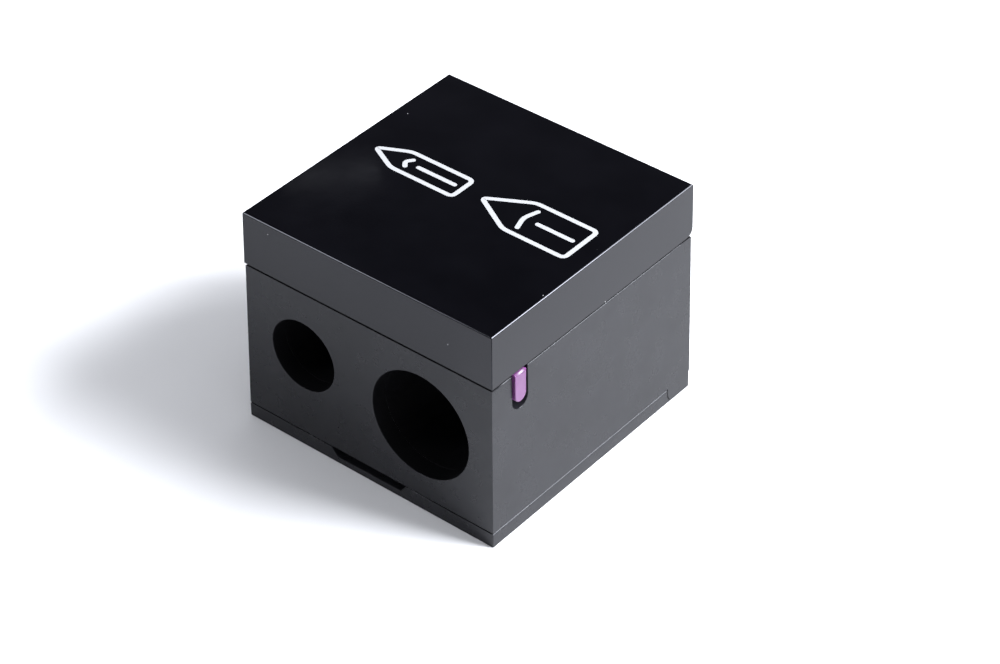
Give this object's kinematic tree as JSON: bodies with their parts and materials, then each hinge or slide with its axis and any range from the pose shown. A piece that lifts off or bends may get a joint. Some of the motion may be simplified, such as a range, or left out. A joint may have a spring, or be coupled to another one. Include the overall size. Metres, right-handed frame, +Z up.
{
  "type": "pencil sharpener",
  "caption": "Square box sharpener for slim and thick cosmetic pencils, with a hinged lid, a hinged base for emptying shavings and a pull-out cleaning stick.",
  "frame": {"origin": "middle of the base's underside, on the surface that the box stands on", "axes": "+Z up; -Y is the front with the two pencil holes; +X is the side with the cleaning stick's tab"},
  "size_m": [0.0328, 0.0326, 0.0262],
  "materials": {
    "housing_plastic": "black moulded plastic, satin",
    "lid_plastic": "black moulded plastic, polished",
    "insert_plastic": "black moulded plastic, matt",
    "stick_plastic": "purple moulded plastic",
    "blade_steel": "ground carbon steel",
    "screw_steel": "zinc-plated steel",
    "pin_steel": "drawn steel wire"
  },
  "bodies": {
    "base": {"base_plate": "housing_plastic", "base_hinge_pin": "pin_steel"},
    "housing": {"body_shell": "housing_plastic", "cutter_block": "insert_plastic", "small_blade": "blade_steel", "small_blade_screw": "screw_steel", "large_blade": "blade_steel", "large_blade_screw": "screw_steel", "lid_hinge_pin": "pin_steel"},
    "lid": {"lid": "lid_plastic"},
    "stick": {"cleaning_stick": "stick_plastic"}
  },
  "joints": [
    {"name": "base_hinge", "type": "hinge", "parent": "base", "child": "housing", "pos_m": [0, 0.01445, 0.00145], "axis": [-1, 0, 0], "range_deg": [0, 75]},
    {"name": "lid_hinge", "type": "hinge", "parent": "housing", "child": "lid", "pos_m": [0, 0.0153, 0.02073], "axis": [-1, 0, 0], "range_deg": [0, 95]},
    {"name": "stick_slide", "type": "slide", "parent": "housing", "child": "stick", "axis": [1, 0, 0], "range_m": [0, 0.022]}
  ]
}
